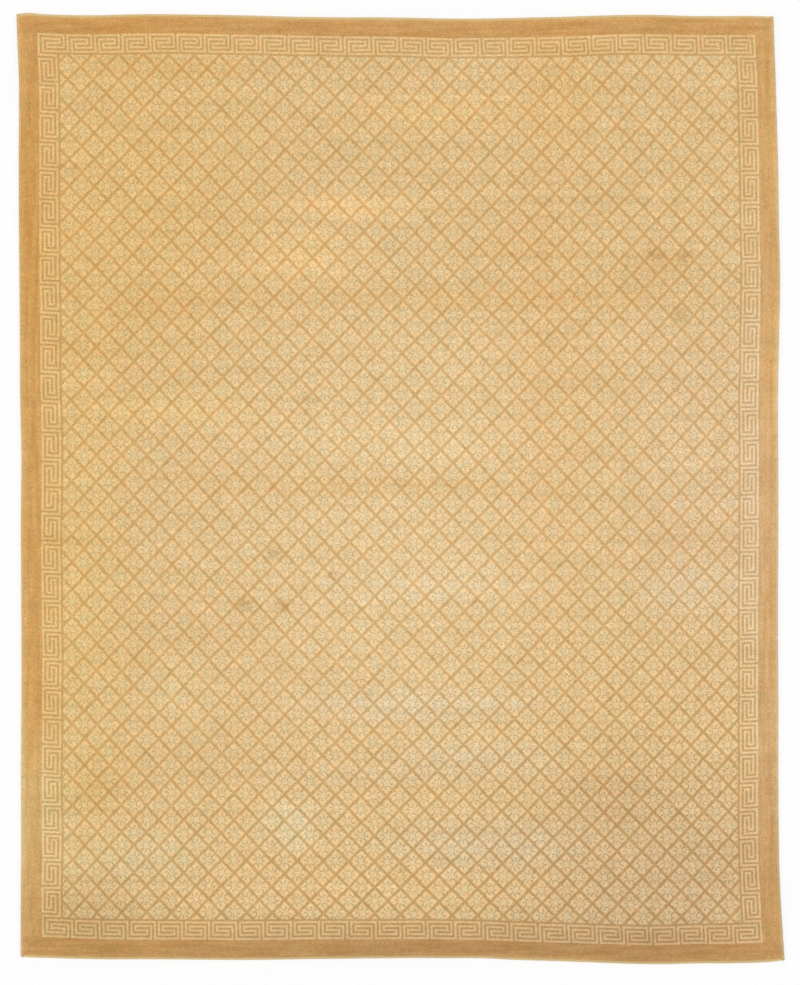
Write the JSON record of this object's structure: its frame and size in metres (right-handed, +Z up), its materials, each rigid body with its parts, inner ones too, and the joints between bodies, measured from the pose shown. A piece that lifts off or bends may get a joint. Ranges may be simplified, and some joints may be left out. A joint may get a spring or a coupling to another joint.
{
  "type": "tibetan rug",
  "caption": "Room-size hand-knotted wool rug lying flat, a honey and cream diamond lattice inside a key-fret border, with overcast sides and narrow end hems.",
  "frame": {"origin": "middle of the rug's box, on the floor under it", "axes": "+X across the rug's width, +Y along its length, towards the end at the top of the picture, +Z up out of the pile"},
  "size_m": [2.445, 3.0286, 0.0115],
  "materials": {
    "pile_wool": "matt cut wool pile, honey tan with a cream pattern",
    "binding_wool": "matt overcast wool yarn, pale tan"
  },
  "bodies": {
    "root": {"knotted_panel": "pile_wool", "side_binding_left": "binding_wool", "side_binding_right": "binding_wool"}
  },
  "joints": []
}
